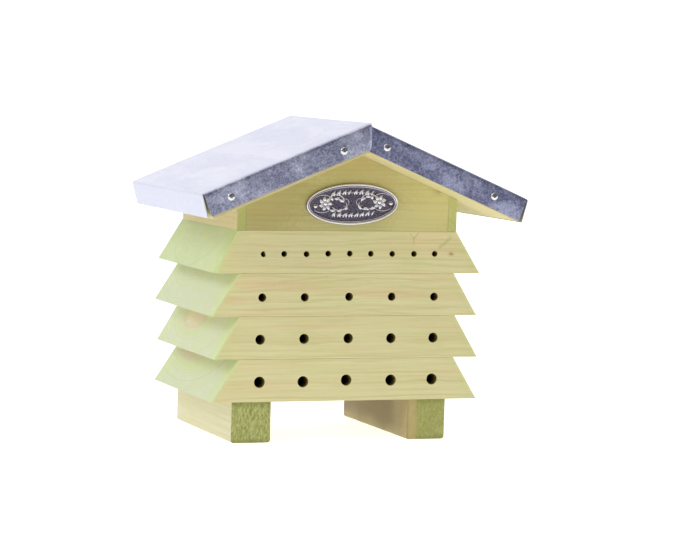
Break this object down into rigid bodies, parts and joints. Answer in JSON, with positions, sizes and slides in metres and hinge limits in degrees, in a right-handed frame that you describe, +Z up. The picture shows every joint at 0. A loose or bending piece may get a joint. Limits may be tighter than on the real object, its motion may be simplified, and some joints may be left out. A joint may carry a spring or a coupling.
{
  "type": "insect hotel",
  "caption": "Insect hotel of stacked pine tiers with flared ends and drilled nest tunnels, on foot rails, with an attic and a pitched roof under zinc trays.",
  "frame": {"origin": "centre of the bounding box at floor level", "axes": "+X along the tiers to the right, +Z up, nest entrances and gable plaque face -Y"},
  "size_m": [0.292, 0.21, 0.2727],
  "materials": {
    "pine": "sawn and planed, green preservative tint, matte",
    "roof_zinc": "galvanised, fine spangle, satin",
    "screw_steel": "bright zinc plated",
    "plaque_metal": "cast relief, bright raised parts on a dark recessed ground"
  },
  "bodies": {
    "root": {"tier_block_bottom": "pine", "tier_block_lower": "pine", "tier_block_upper": "pine", "tier_block_top": "pine", "foot_rail_left": "pine", "foot_rail_right": "pine", "gable_board_front": "pine", "gable_board_back": "pine", "attic_side_left": "pine", "attic_side_right": "pine", "roof_board_left": "pine", "roof_board_right": "pine", "zinc_tray_left": "roof_zinc", "zinc_tray_right": "roof_zinc", "tier_screws_lower": "screw_steel", "tier_screws_middle": "screw_steel", "tier_screws_upper": "screw_steel", "attic_screws": "screw_steel", "roof_board_screws": "screw_steel", "foot_screws": "screw_steel", "tray_screws_front": "screw_steel", "tray_screws_rear": "screw_steel", "plaque_pins": "screw_steel", "oval_plaque": "plaque_metal"}
  },
  "joints": []
}
